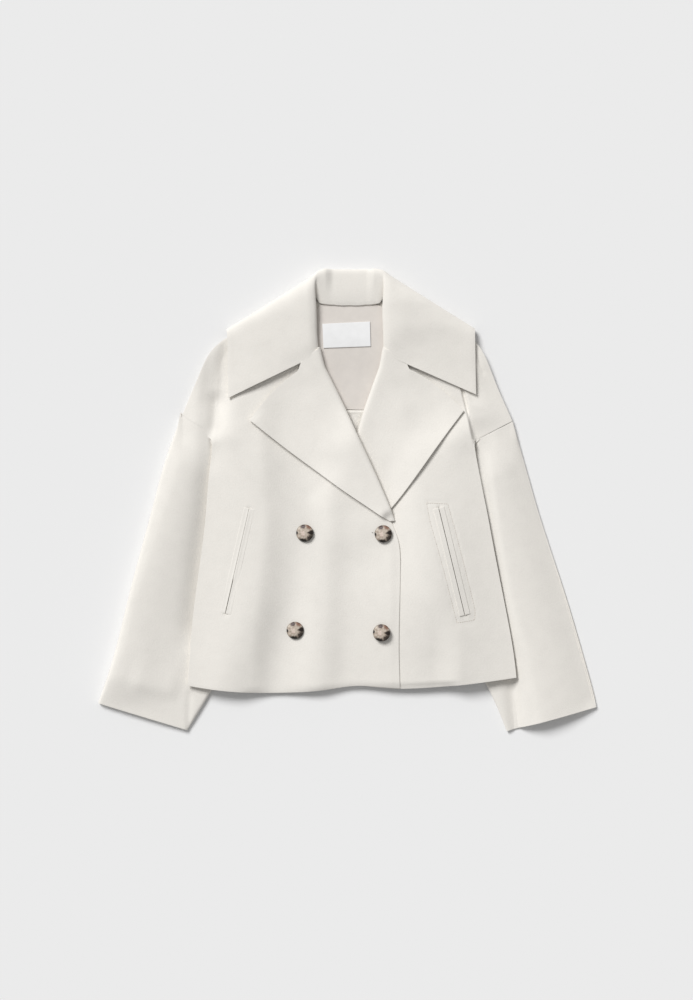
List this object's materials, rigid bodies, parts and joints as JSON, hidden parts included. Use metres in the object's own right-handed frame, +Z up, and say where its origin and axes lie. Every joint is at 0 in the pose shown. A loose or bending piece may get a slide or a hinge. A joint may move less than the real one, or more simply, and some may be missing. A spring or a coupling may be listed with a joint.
{
  "type": "short coat",
  "caption": "Cropped double-breasted wool coat laid flat on its back: wide collar and lapels, long sleeves splayed out, slanted welt pockets, round buttons.",
  "frame": {"origin": "middle of the laid coat's plan, on the surface it lies on", "axes": "+X towards the wearer's left (right in the picture), +Y towards the neck, +Z up off the surface"},
  "size_m": [0.7478, 0.6939, 0.0271],
  "materials": {
    "coat_cloth": "brushed wool, matt",
    "sleeve_cloth": "brushed wool, matt",
    "lining": "smooth lining, faint sheen",
    "label": "woven satin, bare",
    "tortoiseshell": "polished"
  },
  "bodies": {
    "root": {"back": "coat_cloth", "back_neck_lining": "lining", "lining_band": "coat_cloth", "neck_label": "label", "front_left": "coat_cloth", "front_right": "coat_cloth", "lapel_left": "coat_cloth", "lapel_right": "coat_cloth", "collar": "coat_cloth", "sleeve_left": "sleeve_cloth", "sleeve_right": "sleeve_cloth", "welt_left_inner": "coat_cloth", "welt_left_outer": "coat_cloth", "welt_right_inner": "coat_cloth", "welt_right_outer": "coat_cloth", "button_upper_left": "tortoiseshell", "button_upper_right": "tortoiseshell", "button_lower_left": "tortoiseshell", "button_lower_right": "tortoiseshell"}
  },
  "joints": []
}
